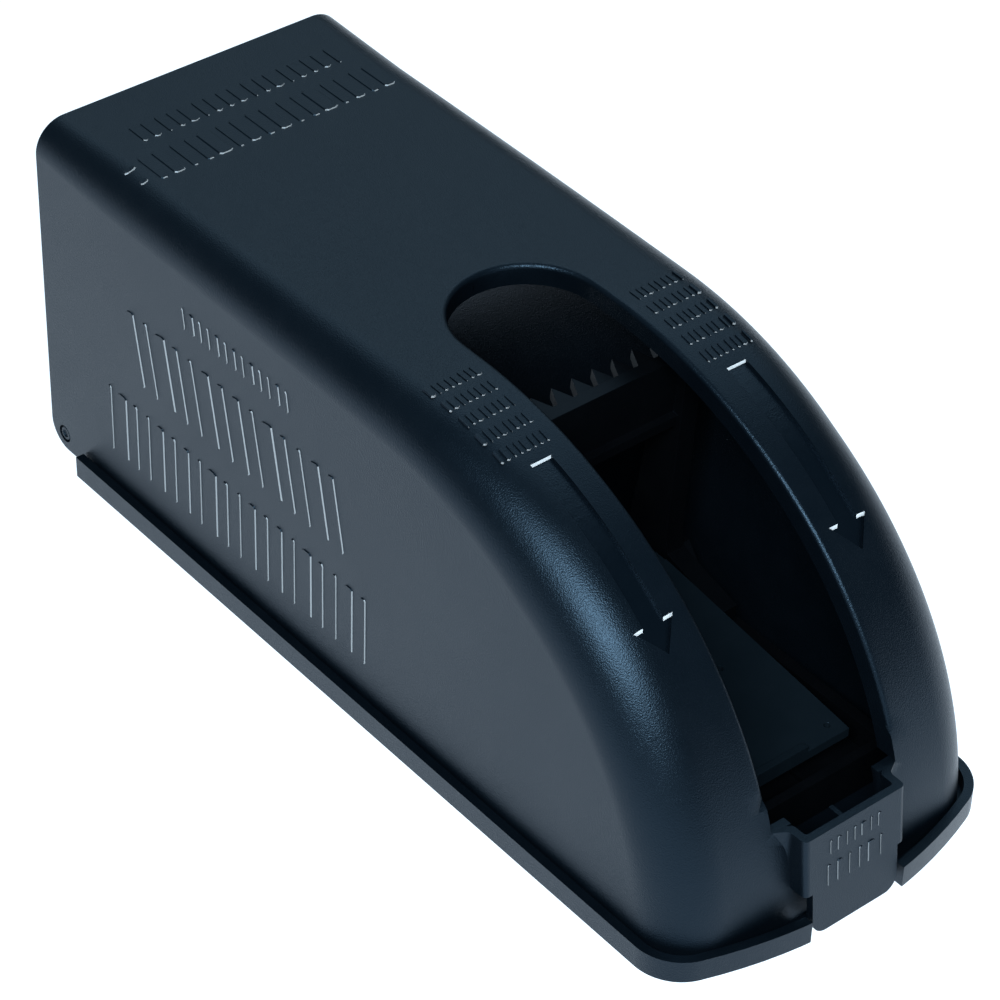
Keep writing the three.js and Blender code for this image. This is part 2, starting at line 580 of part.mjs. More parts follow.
place('base_tray', baseTray(), materials.shell);
place('cover', cover(), materials.shell);
place('hinge_pin_left', hingePin(-1), materials.shell);
place('hinge_pin_right', hingePin(1), materials.shell);
place('trap_frame', trapFrame(), materials.trap);
screwPlaces().forEach((spot, i) => place(`frame_screw_${i + 1}`, frameScrew(spot), materials.steel));
place('upper_jaw', upperJaw(), materials.trap);
place('setting_lever', settingLever(), materials.trap);
place('spring_left', jawSpring(-1), materials.steel);
place('spring_right', jawSpring(1), materials.steel);
place('pivot_pin', pivotPin(), materials.steel);
place('pivot_cap_left', pivotCap(-1), materials.steel);
place('pivot_cap_right', pivotCap(1), materials.steel);
place('trigger_pedal', triggerPedal(), materials.trap);
place('trigger_pin', triggerPin(), materials.steel);
place('trigger_spring', triggerSpring(), materials.steel);
place('bait_cup', baitCup(), materials.cup);

export default trap;
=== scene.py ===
# %% [markdown]
# # A covered snap trap
# This file dresses a imported CAD model of a rat-size snap trap inside a moulded plastic cover. The CAD
# holds the sizes, the bodies and the joints. Everything made here is in the CAD's own frame, in
# metres: +Y runs to the entrance and the cover's hinge, -Y to the lift tab, and +Z is up. Lengths
# below are written in millimetres, because a moulded part is drawn in millimetres, and each mesh is
# scaled to metres once, when it is made.

# %% The frame, and the boxes of the CAD's parts
import json
import math

import bmesh
import bpy
from mathutils import Matrix, Vector


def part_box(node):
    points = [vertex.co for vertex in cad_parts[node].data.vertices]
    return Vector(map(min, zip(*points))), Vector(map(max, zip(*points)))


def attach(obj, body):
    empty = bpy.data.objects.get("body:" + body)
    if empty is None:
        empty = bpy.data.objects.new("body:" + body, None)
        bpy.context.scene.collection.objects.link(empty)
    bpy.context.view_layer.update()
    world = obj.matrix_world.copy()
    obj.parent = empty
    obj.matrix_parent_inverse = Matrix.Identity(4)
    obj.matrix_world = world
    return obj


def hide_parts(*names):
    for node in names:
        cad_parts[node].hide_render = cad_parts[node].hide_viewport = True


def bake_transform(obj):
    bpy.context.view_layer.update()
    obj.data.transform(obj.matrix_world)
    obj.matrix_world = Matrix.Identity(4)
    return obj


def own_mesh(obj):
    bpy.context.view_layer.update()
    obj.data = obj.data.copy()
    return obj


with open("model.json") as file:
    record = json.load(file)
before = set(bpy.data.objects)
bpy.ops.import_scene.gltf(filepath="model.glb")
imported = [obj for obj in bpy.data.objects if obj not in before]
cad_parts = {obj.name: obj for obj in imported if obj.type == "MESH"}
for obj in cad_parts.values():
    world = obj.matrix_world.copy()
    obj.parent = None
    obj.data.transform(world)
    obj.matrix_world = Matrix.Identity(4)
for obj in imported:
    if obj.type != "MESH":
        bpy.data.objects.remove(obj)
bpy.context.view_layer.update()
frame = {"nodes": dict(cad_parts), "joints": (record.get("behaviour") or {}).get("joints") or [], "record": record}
scene = bpy.context.scene
MM = 0.001


def mm_box(node):
    """A CAD node's lowest and highest corner, in millimetres."""
    low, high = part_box(node)
    return low / MM, high / MM


cover_low, cover_high = mm_box("cover")
joint_at = {j["name"]: Vector(j["pos_m"]) / MM for j in frame["joints"]}
print("nodes", len(frame["nodes"]), "cover", [round(v, 1) for v in (*cover_low, *cover_high)])

# %% [markdown]
# ## Camera
# The camera looks down on the trap from its left front corner with a long lens, so the long sides
# hardly converge. It is placed by two angles round a target, the way a photographer walks round a
# table, and turned by a small roll, because a tripod is seldom dead level.

# %% Camera
AZIMUTH, ELEVATION, ROLL = math.radians(-40.26), math.radians(38.99), math.radians(1.63)
TARGET = Vector((-6.07, -5.31, 45.0)) * MM
DISTANCE = 833.5 * MM

back = Vector((math.sin(AZIMUTH) * math.cos(ELEVATION), -math.cos(AZIMUTH) * math.cos(ELEVATION),
               math.sin(ELEVATION)))
camera = bpy.data.objects.new("camera", bpy.data.cameras.new("camera"))
camera.data.lens = 128.14
camera.data.clip_start, camera.data.clip_end = 0.05, 20
turn = back.to_track_quat("Z", "Y").to_matrix().to_4x4() @ Matrix.Rotation(ROLL, 4, "Z")
camera.matrix_world = Matrix.Translation(TARGET + back * DISTANCE) @ turn
scene.collection.objects.link(camera)
scene.camera = camera
print("camera at", [round(v, 3) for v in camera.matrix_world.translation])

# %% [markdown]
# ## Node trees as sums
# A shader or a geometry graph is a small sum, so it is written as one. `Wire` wraps a socket and
# gives it the usual operators; each operation adds a Math node. `Tree.node` adds any other node:
# its settings first, then its inputs, each a plain value or another wire.

# %% Wires and trees
class Wire:
    """A value in a node tree that can be added, multiplied and so on."""

    def __init__(self, tree, socket):
        self.tree, self.socket = tree, socket

    def _math(self, operation, first, second):
        return self.tree.node("ShaderNodeMath", {"operation": operation}, {0: first, 1: second})

    def __add__(self, other):
        return self._math("ADD", self, other)

    def __sub__(self, other):
        return self._math("SUBTRACT", self, other)

    def __rsub__(self, other):
        return self._math("SUBTRACT", other, self)

    def __mul__(self, other):
        return self._math("MULTIPLY", self, other)

    def __truediv__(self, other):
        return self._math("DIVIDE", self, other)

    def __rtruediv__(self, other):
        return self._math("DIVIDE", other, self)

    def power(self, exponent):
        return self._math("POWER", self, exponent)

    def above(self, edge, width):
        """0 below the edge, 1 above it, with a soft step of the given width."""
        inputs = {"Value": self, "From Min": edge - width / 2, "From Max": edge + width / 2}
        return self.tree.node("ShaderNodeMapRange", {}, inputs)

    __radd__, __rmul__ = __add__, __mul__


class Tree:
    """A node tree, with one way to add any node to it."""

    def __init__(self, node_tree):
        self.node_tree = node_tree

    def node(self, kind, settings=None, values=None, output=0):
        made = self.node_tree.nodes.new(kind)
        for key, value in (settings or {}).items():
            setattr(made, key, value)
        for key, value in (values or {}).items():
            self.feed(made.inputs[key], value)
        return Wire(self, made.outputs[output])

    def feed(self, socket, value):
        if isinstance(value, Wire):
            self.node_tree.links.new(value.socket, socket)
        else:
            socket.default_value = value


class Finish(Tree):
    """A material round one Principled BSDF, with noises measured in millimetres on the piece."""

    def __init__(self, name):
        self.material = bpy.data.materials.new(name)
        self.material.use_nodes = True
        super().__init__(self.material.node_tree)
        self.surface = self.node_tree.nodes["Principled BSDF"]

    def place(self):
        return self.node("ShaderNodeTexCoord", output=3)

    def axis(self, output):
        """The piece's own X, Y or Z in metres."""
        return self.node("ShaderNodeSeparateXYZ", {}, {0: self.place()}, output)

    def noise(self, size_mm, detail=2.0, roughness=0.5):
        """Noise between 0 and 1 whose lumps are about size_mm across."""
        values = {"Vector": self.place(), "Scale": 1000 / size_mm, "Detail": detail, "Roughness": roughness}
        return self.node("ShaderNodeTexNoise", {}, values)

    def cells(self, size_mm):
        """Distance to the nearest cell centre, for pits and grains of about size_mm."""
        return self.node("ShaderNodeTexVoronoi", {}, {"Vector": self.place(), "Scale": 1000 / size_mm})

    def mix(self, factor, first, second):
        """A colour between two colours."""
        return self.node("ShaderNodeMix", {"data_type": "RGBA"}, {0: factor, 6: first, 7: second}, 2)

    def bump(self, height, depth_mm, strength=1.0):
        values = {"Height": height, "Distance": depth_mm * MM, "Strength": strength}
        return self.node("ShaderNodeBump", {}, values)

    def finish(self, constants, **wires):
        """Sets the constants, links the varying inputs, and gives back the material."""
        for socket, value in constants.items():
            self.surface.inputs[socket].default_value = value
        for socket, wire in wires.items():
            self.feed(self.surface.inputs[socket.replace("_", " ")], wire)
        return self.material


def grey(level, tint=(1, 1, 1)):
    return (*(level * t for t in tint), 1)


# %% [markdown]
# ## Stage and light
# Black plastic has almost no colour of its own: what is seen is what it reflects. The side wall
# mirrors the pale floor, and the roof mirrors what hangs above and behind. So the stage is chosen by
# what each face should mirror: a floor that glows a little, a dim world, a wide low key light for the
# long highlight on the shoulder, and a large faint reflector for the roof. A panel's power is worked
# out from the radiance it should show, so its size can change without changing its brightness.

# %% Floor, world and soft panels
scene.view_settings.view_transform = "Standard"


def lit_paper():
    """White paper lit from below as well, like a product table, and more so towards the front."""
    tree = Finish("floor_paper")
    front = 1 - tree.axis(1).above(0.0, 0.35)
    fibre = tree.noise(1.2, detail=3.0)
    daylight = (0.98, 1.14, 1.30)
    glow = tree.mix(front, grey(0.96, daylight), grey(1.14, daylight))
    return tree.finish({"Base Color": grey(0.12), "Emission Strength": 1.0}, Emission_Color=glow,
                       Roughness=fibre * 0.1 + 0.85)


FLOOR_HALF = 8
corners = [(x * FLOOR_HALF, y * FLOOR_HALF, 0) for x, y in ((-1, -1), (1, -1), (1, 1), (-1, 1))]
floor_mesh = bpy.data.meshes.new("floor")
floor_mesh.from_pydata(corners, [], [(0, 1, 2, 3)])
floor_mesh.materials.append(lit_paper())
floor = bpy.data.objects.new("floor", floor_mesh)
scene.collection.objects.link(floor)

world = bpy.data.worlds.new("studio")
world.use_nodes = True
sky = world.node_tree.nodes["Background"]
sky.inputs["Color"].default_value, sky.inputs["Strength"].default_value = (0.55, 0.80, 1.0, 1), 0.17
scene.world = world


def soft_panel(name, azimuth, elevation, distance, width, height, radiance, colour=(1, 1, 1)):
    """A rectangular light that faces the trap. Azimuth 0 is the tab's side, negative to the left."""
    azimuth, elevation = math.radians(azimuth), math.radians(elevation)
    direction = (math.sin(azimuth) * math.cos(elevation), -math.cos(azimuth) * math.cos(elevation),
                 math.sin(elevation))
    data = bpy.data.lights.new(name, "AREA")
    data.shape, data.size, data.size_y = "RECTANGLE", width, height
    data.energy, data.color = radiance * width * height * math.pi, colour
    panel = bpy.data.objects.new(name, data)
    outward = Vector(direction).normalized()
    panel.matrix_world = (Matrix.Translation(TARGET + outward * distance)
                          @ outward.to_track_quat("Z", "Y").to_matrix().to_4x4())
    scene.collection.objects.link(panel)
    return panel


soft_panel("key", -46, 44, 1.5, 0.85, 0.34, 42, (0.86, 0.95, 1.0))
soft_panel("roof_reflector", 135, 50, 2.5, 2.6, 1.8, 1.18, (0.74, 0.96, 1.08))


# %% [markdown]
# ## Finishes
# The cover and tray are black polypropylene from a spark-eroded mould: a field of fine pits and
# lumps under half a millimetre across that breaks each reflection into sparkle. The grain is bump,
# because it is far finer than the mesh. The slow unevenness of gloss is roughness, and handling
# leaves a faint dust. Two face attributes steer the same finish: one paints a near-white highlight on
# small edges that face the light, and "sunk" lowers the roughness where the mould was polished, as on
# the arrows' floors. A piece without them reads zero. The trap inside is a smoother black plastic,
# painted darker and duller than the shell as painted shade under the hood. The lever, polished by use,
# is painted lighter and bluer, as painted light where it lies open in the slot.

# %% Black plastics
# The first colour is a painted highlight: near-white lines on small edges that face the light.
GLINT_WHITE, BLUE_SHEEN = (0.78, 0.84, 0.88), (0.42, 0.70, 1.0, 1)


def grained_plastic(name, base, grain_mm, grain_depth_mm, roughness, ior, sheen=0.12):
    tree = Finish(name)
    grain = tree.noise(grain_mm, detail=3.0, roughness=0.6)
    pits = tree.cells(grain_mm * 1.3)
    cloud = tree.noise(38, detail=3.0)
    rub = tree.noise(7, detail=4.0)
    sunk = tree.node("ShaderNodeAttribute", {"attribute_name": "sunk"}, output=2)
    gloss = (cloud - 0.5) * 0.10 + (rub - 0.5) * 0.06 + (grain - 0.5) * sheen + roughness - sunk * 0.14
    dusty = grey(1, tuple(c * 1.6 + 0.002 for c in base))
    colour = tree.mix((rub * cloud).power(1.6), grey(1, base), dusty)
    # Faces marked by the attribute below get the painted highlight colour.
    painted_glint = tree.node("ShaderNodeAttribute", {"attribute_name": "painted_glint"}, output=2)
    colour = tree.mix(painted_glint, colour, grey(1, GLINT_WHITE))
    normal = tree.bump(grain * 0.7 + pits * 0.5, grain_depth_mm)
    constants = {"IOR": ior, "Specular Tint": BLUE_SHEEN}
    return tree.finish(constants, Base_Color=colour, Roughness=gloss, Normal=normal)


shell_plastic = grained_plastic("shell_plastic", (0.0010, 0.0022, 0.0038), 0.28, 0.075, 0.34, 1.36)
# The trap's black plastic, painted darker and duller than the shell: painted shade under the hood.
trap_plastic = grained_plastic("trap_plastic", (0.0007, 0.0009, 0.0013), 0.22, 0.010, 0.44, 1.22, 0.06)
# The lever, polished by use, gets a lighter, bluer copy of that plastic: painted light where it lies open in the
# slot.
lever_plastic = grained_plastic("lever_plastic", (0.0032, 0.0062, 0.0092), 0.22, 0.008, 0.32, 1.47, 0.06)
print("plastics", shell_plastic.name, trap_plastic.name, lever_plastic.name)

# %% [markdown]
# The pins, springs and screws are zinc-plated steel: bright, slightly blue, with fine drawing lines
# along the wire and dull spots where the plating has started to bloom. The bait cup is a smoother
# black plastic with flow lines round it.

# %% Steel and cup
def plated_steel():
    tree = Finish("plated_steel")
    bloom = tree.noise(2.4, detail=4.0).above(0.56, 0.16)
    streak = tree.node("ShaderNodeTexWave", {"bands_direction": "X"},
                       {"Vector": tree.place(), "Scale": 900, "Distortion": 3.0, "Detail": 2.0})
    fine = tree.noise(0.3, detail=2.0)
    colour = tree.mix(bloom, grey(0.56, (0.97, 1.0, 1.04)), grey(0.36))
    gloss = bloom * 0.22 + fine * 0.12 + 0.20
    normal = tree.bump(streak * 0.5 + fine, 0.006)
    return tree.finish({"Metallic": 1.0}, Base_Color=colour, Roughness=gloss, Normal=normal)


def cup_plastic_finish():
    tree = Finish("cup_plastic")
    flow = tree.node("ShaderNodeTexNoise", {}, {"Vector": tree.place(), "Scale": 260, "Distortion": 1.5})
    fine = tree.noise(0.4, detail=3.0)
    colour = tree.mix(flow.above(0.5, 0.4), grey(0.009, (0.9, 1.0, 1.1)), grey(0.016, (0.9, 1.0, 1.1)))
    normal = tree.bump(flow * 0.4 + fine * 0.6, 0.015)
    return tree.finish({"IOR": 1.5}, Base_Color=colour, Roughness=flow * 0.12 + 0.24, Normal=normal)


steel, cup_plastic = plated_steel(), cup_plastic_finish()
FINISH = {"shell": shell_plastic, "trap": trap_plastic, "steel": steel, "cup": cup_plastic}
SLOT_OF = {part["node"]: part["material_slot"] for part in frame["record"]["subparts"]}
for node, piece in frame["nodes"].items():
    piece.data.materials.clear()
    piece.data.materials.append(FINISH[SLOT_OF[node]])
print("finishes", {slot: m.name for slot, m in FINISH.items()})


# %% [markdown]
# ## Mesh helpers
# Pieces are made the way a mould maker works: a block, then pockets cut in it, then edges broken.
# Each object is made from points in millimetres, and modifiers are baked at once, so that what
# follows always works on a plain mesh.

# %% Objects and baking
def make_object(name, points, faces, edges=()):
    """A mesh object from points in millimetres."""
    mesh = bpy.data.meshes.new(name)
    mesh.from_pydata([Vector(p) * MM for p in points], list(edges), faces)
    made = bpy.data.objects.new(name, mesh)
    scene.collection.objects.link(made)
    return made


def settle(piece):
    """Bakes the piece's modifiers into its mesh."""
    bpy.context.view_layer.update()
    graph = bpy.context.evaluated_depsgraph_get()
    mesh = bpy.data.meshes.new_from_object(piece.evaluated_get(graph))
    old = piece.data
    piece.modifiers.clear()
    piece.data = mesh
    bpy.data.meshes.remove(old)
    mesh.name = piece.name
    return piece


# %% [markdown]
# Booleans join and cut. The exact solver is slower than the fast one but keeps the faces that lie on
# each other clean, and moulded parts have many of those.

# %% Joining and cutting
def boolean(piece, operation, *tools):
    """Joins or cuts with each tool in turn, and removes the tools."""
    for tool in tools:
        step = piece.modifiers.new("boolean", "BOOLEAN")
        step.operation, step.object, step.solver = operation, tool, "EXACT"
        settle(piece)
        bpy.data.objects.remove(tool)
    return piece


def join(piece, *tools):
    return boolean(piece, "UNION", *tools)


def cut(piece, *tools):
    return boolean(piece, "DIFFERENCE", *tools)


def common(piece, *tools):
    return boolean(piece, "INTERSECT", *tools)


# %% [markdown]
# Booleans leave doubled points, and a CAD solid arrives as loose triangles. Both are merged before an
# edge can be broken. A small bevel on every sharp edge catches the light, as a real edge does, and
# weighted normals keep the flat faces flat beside it.

# %% Merging, edges and dress
def edit(piece, work_on):
    """Runs one bmesh operation on a piece."""
    work = bmesh.new()
    work.from_mesh(piece.data)
    work_on(work)
    work.to_mesh(piece.data)
    work.free()
    return piece


def weld(piece, distance_mm=0.02):
    def close(work):
        bmesh.ops.remove_doubles(work, verts=work.verts, dist=distance_mm * MM)
        bmesh.ops.dissolve_degenerate(work, edges=work.edges, dist=distance_mm * MM)
    return edit(piece, close)


def outward(piece):
    return edit(piece, lambda work: bmesh.ops.recalc_face_normals(work, faces=work.faces))


def copy_node(node, name):
    """A copy of a CAD solid with its flat faces merged, ready to be detailed."""
    piece = bpy.data.objects.new(name, frame["nodes"][node].data.copy())
    scene.collection.objects.link(piece)
    weld(piece, 0.005)
    return edit(piece, lambda work: bmesh.ops.dissolve_limit(
        work, angle_limit=math.radians(1), verts=work.verts, edges=work.edges))


def round_edges(piece, width_mm, segments=2, angle=35):
    """Breaks the sharp edges, and keeps the flat faces flat in the shading."""
    piece.data.shade_smooth()
    step = piece.modifiers.new("edges", "BEVEL")
    step.width, step.segments = width_mm * MM, segments
    step.limit_method, step.angle_limit = "ANGLE", math.radians(angle)
    step.use_clamp_overlap, step.miter_outer = True, "MITER_ARC"
    shading = piece.modifiers.new("shading", "WEIGHTED_NORMAL")
    shading.keep_sharp, shading.weight = True, 90
    return settle(piece)


def dress(piece, body, slot, *nodes, finish=None):
    """Gives a finished piece its finish and its body, and hides the CAD nodes it stands for."""
    piece.data.materials.clear()
    piece.data.materials.append(finish or FINISH[slot])
    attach(piece, body)
    if nodes:
        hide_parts(*nodes)
    print(piece.name, "faces", len(piece.data.polygons), "on", body)
    return piece


# %% [markdown]
# Almost every solid here is an outline pushed along an axis, a loft between two outlines, or a turned
# profile. The points are worked out in plain Python, because the sizes are known exactly.

# %% Prisms, rods, lofts and turned pieces
AXIS_ORDER = {"X": lambda a, b, t: (t, a, b), "Y": lambda a, b, t: (a, t, b),
              "Z": lambda a, b, t: (a, b, t)}


def between_rings(count):
    """Faces of a solid between two rings of points: both ends and the wall."""
    ends = [tuple(range(count))[::-1], tuple(range(count, 2 * count))]
    return ends + [(i, (i + 1) % count, (i + 1) % count + count, i + count) for i in range(count)]


def prism(name, outline, low, high, axis="Z"):
    """A straight prism: the outline's two numbers are the other two axes, in X, Y, Z order."""
    points = [AXIS_ORDER[axis](a, b, t) for t in (low, high) for a, b in outline]
    return outward(make_object(name, points, between_rings(len(outline))))


def block(name, low, high):
    (x0, y0, z0), (x1, y1, z1) = low, high
    return prism(name, [(x0, y0), (x1, y0), (x1, y1), (x0, y1)], z0, z1)


def arc(centre, radius, start, end, steps):
    """Points on an arc, angles in degrees, both ends included."""
    angles = [math.radians(start + (end - start) * i / steps) for i in range(steps + 1)]
    return [(centre[0] + radius * math.cos(t), centre[1] + radius * math.sin(t)) for t in angles]


def rod(name, axis, across, up, radius, low, high, sides=48):
    """A round bar along an axis through the point (across, up) on the other two axes."""
    return prism(name, arc((across, up), radius, 0, 360 - 360 / sides, sides - 1), low, high, axis)


def loft(name, sections, low, high):
    """A solid between two outlines with the same number of points, at two heights."""
    points = [(x, y, z) for outline, z in zip(sections, (low, high)) for x, y in outline]
    return outward(make_object(name, points, between_rings(len(sections[0]))))


def turned(name, profile, place, axis="Z", direction=1, sides=64):
    """A turned piece: profile points are (radius, along), the first and last on the axis."""
    inner = profile[1:-1]
    points = [(0, 0, profile[0][1]), (0, 0, profile[-1][1])]
    for radius, along in inner:
        points += [(x, y, along) for x, y in arc((0, 0), radius, 0, 360 - 360 / sides, sides - 1)]
    ring = lambda r, i: 2 + r * sides + i % sides
    faces = [(0, ring(0, i + 1), ring(0, i)) for i in range(sides)]
    faces += [(1, ring(len(inner) - 1, i), ring(len(inner) - 1, i + 1)) for i in range(sides)]
    faces += [(ring(r, i), ring(r, i + 1), ring(r + 1, i + 1), ring(r + 1, i))
              for r in range(len(inner) - 1) for i in range(sides)]
    swing = Matrix.Rotation(math.radians(90 * direction), 3, "Y") if axis == "X" else Matrix.Identity(3)
    spots = [swing @ Vector(p) + Vector(place) for p in points]
    return outward(make_object(name, spots, faces))


# %% [markdown]
# ## The hood's surface
# The hood is one drafted shell: a flat roof, an elliptical nose, and a fillet along both shoulders
# that grows towards the nose. It is lofted from sections that stand square to the side profile. Each
# section is a strip with a slight bow, an arc, and a tangent side wall. Offsetting the rule, rather
# than the mesh, gives the inside of the wall exactly.

# %% Section and profile rules
TRAY_BOW, HOOD_BOW = 113, 400
HALF_WIDTH, DRAFT, WALL = 46.8, 0.008, 2.2
HOOD_TOP, FOOT_Z = cover_high.z, 2.4
NOSE_Y, NOSE_LENGTH = -13.05, 106.6
FILLET_REAR, FILLET_NOSE, FILLET_POWER = 10.3, 15.05, 3.1
CRISP_REACH, CRISP_CUT = 28, 1.8
SLOT_HALF = 18.7
STRIP_COLUMNS = (0, 6, 12, 16.5, 21.2)


def half_section(half_width, lean, radius, bow, arc_steps=14):
    """Points across and down from the middle of a section to its side wall."""
    lean_length = math.hypot(1, lean)
    touch = half_width - radius
    for _ in range(30):
        slope_length = math.hypot(1, 2 * bow * touch)
        depth = bow * touch ** 2 + radius / slope_length
        touch = half_width + lean * depth - radius * lean_length + 2 * bow * touch * radius / slope_length
    slope_length = math.hypot(1, 2 * bow * touch)
    centre = (touch - 2 * bow * touch * radius / slope_length, depth)
    outer_steps, last = 4, STRIP_COLUMNS[-1]
    across = [*STRIP_COLUMNS, *(last + (touch - last) * i / outer_steps for i in range(1, outer_steps))]
    start, end = math.degrees(math.atan2(-1, 2 * bow * touch)), math.degrees(math.atan2(-lean, 1))
    return [(x, bow * x * x) for x in across] + arc(centre, radius, start, end, arc_steps)


def full_section(*sizes):
    right = half_section(*sizes)
    return [(-x, depth) for x, depth in right[:0:-1]] + right


def fillet_at(y):
    """The shoulder's radius: it grows towards the nose, and is crisper at the very rear."""
    from_rear = cover_high.y - y
    share = min(1, max(0, from_rear / (cover_high.y - NOSE_Y + NOSE_LENGTH / 2)))
    crisp = CRISP_CUT * max(0, 1 - from_rear / CRISP_REACH)
    return FILLET_REAR + (FILLET_NOSE - FILLET_REAR) * share ** FILLET_POWER - crisp


def nose_point(degrees):
    """A point on the side profile of the nose, with its outward normal."""
    angle = math.radians(degrees)
    length = math.hypot(HOOD_TOP * math.sin(angle), NOSE_LENGTH * math.cos(angle))
    ny, nz = -HOOD_TOP * math.sin(angle) / length, NOSE_LENGTH * math.cos(angle) / length
    return NOSE_Y - NOSE_LENGTH * math.sin(angle), HOOD_TOP * math.cos(angle), ny, nz


def profile_at(y):
    """Height and outward normal of the nose's profile at y."""
    _, z, ny, nz = nose_point(math.degrees(math.asin((NOSE_Y - y) / NOSE_LENGTH)))
    return z, ny, nz


def hood_stations(inset, foot_z, nose_steps=56):
    """Places along the side profile: y, z, outward normal, share of the bow, and fillet radius."""
    stations, roof_steps = [], 14
    for i in range(roof_steps):
        y = cover_high.y - inset + (NOSE_Y - cover_high.y + inset) * i / roof_steps
        stations.append((y, HOOD_TOP - inset, 0, 1, 0, fillet_at(y) - inset))
    for i in range(nose_steps + 1):
        y, z, ny, nz = nose_point(86.5 * i / nose_steps)
        stations.append((y - ny * inset, z - nz * inset, ny, nz, ny * ny, fillet_at(y) - inset))
    stations.append((NOSE_Y - NOSE_LENGTH + inset, foot_z, -1, 0, 1, FILLET_NOSE - inset))
    return stations


def hood_space(name, inset, foot_z=FOOT_Z):
    """The closed space inside the hood's outer surface moved in by inset, in millimetres."""
    def half_width_at(z):
        return HALF_WIDTH - inset - DRAFT * z

    rows = []
    for y, z, ny, nz, bow_share, radius in hood_stations(inset, foot_z):
        section = full_section(half_width_at(z), DRAFT * nz, radius, bow_share / (2 * HOOD_BOW))
        rows.append([(x, y - ny * depth, z - nz * depth) for x, depth in section])
    width, count = len(rows[0]), len(rows)
    points = [p for row in rows for p in row]
    feet = []
    for row in rows[:-1]:
        feet.append(len(points))
        points += [(-half_width_at(foot_z), row[0][1], foot_z), (half_width_at(foot_z), row[-1][1], foot_z)]
    at = lambda i, j: i * width + j
    left = [*feet, at(count - 1, 0)]
    right = [*(k + 1 for k in feet), at(count - 1, width - 1)]
    faces = []
    for i in range(count - 1):
        last = i == count - 2
        next_left, next_right = ((), ()) if last else ((left[i + 1],), (right[i + 1],))
        faces += [(at(i, j), at(i + 1, j), at(i + 1, j + 1), at(i, j + 1)) for j in range(width - 1)]
        faces.append((at(i + 1, 0), at(i, 0), left[i], *next_left))
        faces.append((at(i, width - 1), at(i + 1, width - 1), *next_right, right[i]))
        faces.append((left[i + 1], left[i], right[i], right[i + 1]))
    faces.append((*(at(0, j) for j in range(width)), right[0], left[0]))
    faces.append(tuple(at(count - 1, j) for j in reversed(range(width))))
    return make_object(name, points, faces)


# %% [markdown]
# ## The cover
# Outside minus inside gives the shell. The finger slot runs from the roof down the nose, and its rim
# turns down inside as a stiffening lip. The entrance, the hinge corners and the tab's pocket are cut
# next. The slot's upper edge gets a larger radius, where fingers go in, and every other sharp edge a
# small bevel, so that it shows as a thin bright line. The arrows that point the way the lever is
# pressed are sunk after that, so that their ends stay crisp.

# %% Cover shell, slot and lip
SLOT_END_Y, SLOT_FOOT_Z, LIP, LIP_DEPTH = -6.6, 28.1, 2, 5.5
ABOVE, AHEAD, BELOW = HOOD_TOP + 8, cover_low.y - 6, FOOT_Z - 6
HINGE, PIN_BORE = joint_at["cover_hinge"], 2.4


def slot_prism(name, half_width, front_y, low):
    outline = [(-half_width, front_y), (half_width, front_y), *arc((0, SLOT_END_Y), half_width, 0, 180, 48)]
    return prism(name, outline, low, ABOVE)


def cover_shell():
    shell = cut(hood_space("cover_shell", 0), hood_space("inside", WALL, BELOW))
    lip = cut(slot_prism("lip", SLOT_HALF + LIP, AHEAD + 2, SLOT_FOOT_Z),
              slot_prism("gap", SLOT_HALF, AHEAD, SLOT_FOOT_Z - 1))
    lip = common(lip, cut(hood_space("band", 0.01), hood_space("band_inside", LIP_DEPTH, BELOW)))
    return cut(join(shell, lip), slot_prism("slot", SLOT_HALF, AHEAD, SLOT_FOOT_Z))


def rear_cuts():
    """Entrance, room for the hinge lugs, the rounded heel and the pin holes."""
    half, top, corner, sill = 32, 66, 8, 14
    doorway = [(-half, 0), (half, 0), *arc((half - corner, top - corner), corner, 0, 90, 10),
               *arc((-half + corner, top - corner), corner, 90, 180, 10)]
    inner = HALF_WIDTH - WALL - DRAFT * sill
    rear, heel = cover_high.y, 7
    swing = [(rear + 2, FOOT_Z - 1), (rear + 2, FOOT_Z + heel),
             *arc((rear - heel, FOOT_Z + heel), heel, 0, -90, 14), (rear - heel, FOOT_Z - 1)]
    return (prism("doorway", doorway, 120, 130, "Y"),
            block("hinge_room", (-inner, 120, 0), (inner, 130, sill)),
            prism("swing", swing, -50, 50, "X"), rod("pin_holes", "X", HINGE.y, HINGE.z, PIN_BORE, -50, 50))


# %% [markdown]
# The lift tab is a small channel that stands out from the foot of the nose, with a tongue below it
# that snaps into the tray's notch. A fingertip goes in behind the plate, so the plate is hollow at
# the back, with one thin rib down its middle, and flared ears tie it to the slot's edges.

# %% Lift tab
TAB_HALF, TAB_TOP, TAB_FOOT, TAB_FACE, TAB_SLOPE, TAB_WALL = 15.2, 28.1, 12.5, -121.6, 0.11, 2


def tab_face(z):
    return TAB_FACE - TAB_SLOPE * (TAB_TOP - z)


def rounded_path(points, radii, steps=5):
    """An open path whose inner corners are rounded by the given radii."""
    path = [Vector(points[0])]
    for before, corner, after, radius in zip(points, points[1:], points[2:], radii):
        corner, into, out = Vector(corner), Vector(before) - Vector(corner), Vector(after) - Vector(corner)
        reach = radius / math.tan(into.angle(out) / 2)
        start, end = corner + into.normalized() * reach, corner + out.normalized() * reach
        for i in range(steps + 1):
            t = i / steps
            path.append(start * (1 - t) ** 2 + corner * 2 * t * (1 - t) + end * t ** 2)
    return path + [Vector(points[-1])]


